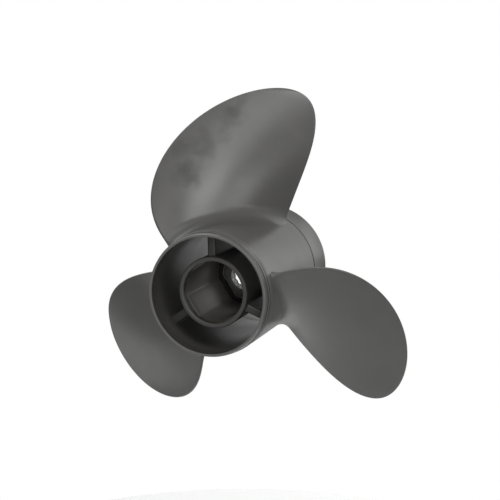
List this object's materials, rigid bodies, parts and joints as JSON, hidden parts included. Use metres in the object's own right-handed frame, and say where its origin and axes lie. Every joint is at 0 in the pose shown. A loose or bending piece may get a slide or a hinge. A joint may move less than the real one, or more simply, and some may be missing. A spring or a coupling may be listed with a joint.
{
  "type": "boat propeller",
  "caption": "Right-hand outboard propeller with raked blades, through-hub exhaust passages, a flared diffuser ring and a squared hub socket holding a cushioned splined core.",
  "frame": {"origin": "on the shaft axis, halfway along the barrel with its diffuser ring", "axes": "+Y along the shaft towards aft, the exhaust end; -Y towards the gearcase; +Z along the blade that points up"},
  "size_m": [0.31, 0.166, 0.288],
  "materials": {
    "casting_paint": "satin graphite paint over cast aluminium",
    "ring_paint": "satin graphite paint",
    "bush_rubber": "matte black bonded rubber",
    "core_metal": "satin dark coating over machined metal"
  },
  "bodies": {
    "casting": {"hub_barrel": "casting_paint", "inner_hub": "casting_paint", "rib_1": "casting_paint", "rib_2": "casting_paint", "rib_3": "casting_paint", "blade_1": "casting_paint", "blade_2": "casting_paint", "blade_3": "casting_paint", "diffuser_ring": "ring_paint", "rubber_bush": "bush_rubber"},
    "core": {"drive_core": "core_metal"}
  },
  "joints": [
    {"name": "core_twist", "type": "hinge", "parent": "casting", "child": "core", "pos_m": [0, 0.0214, 0], "axis": [0, 1, 0], "range_deg": [-10, 10], "stiffness_Nm_per_rad": 600}
  ]
}
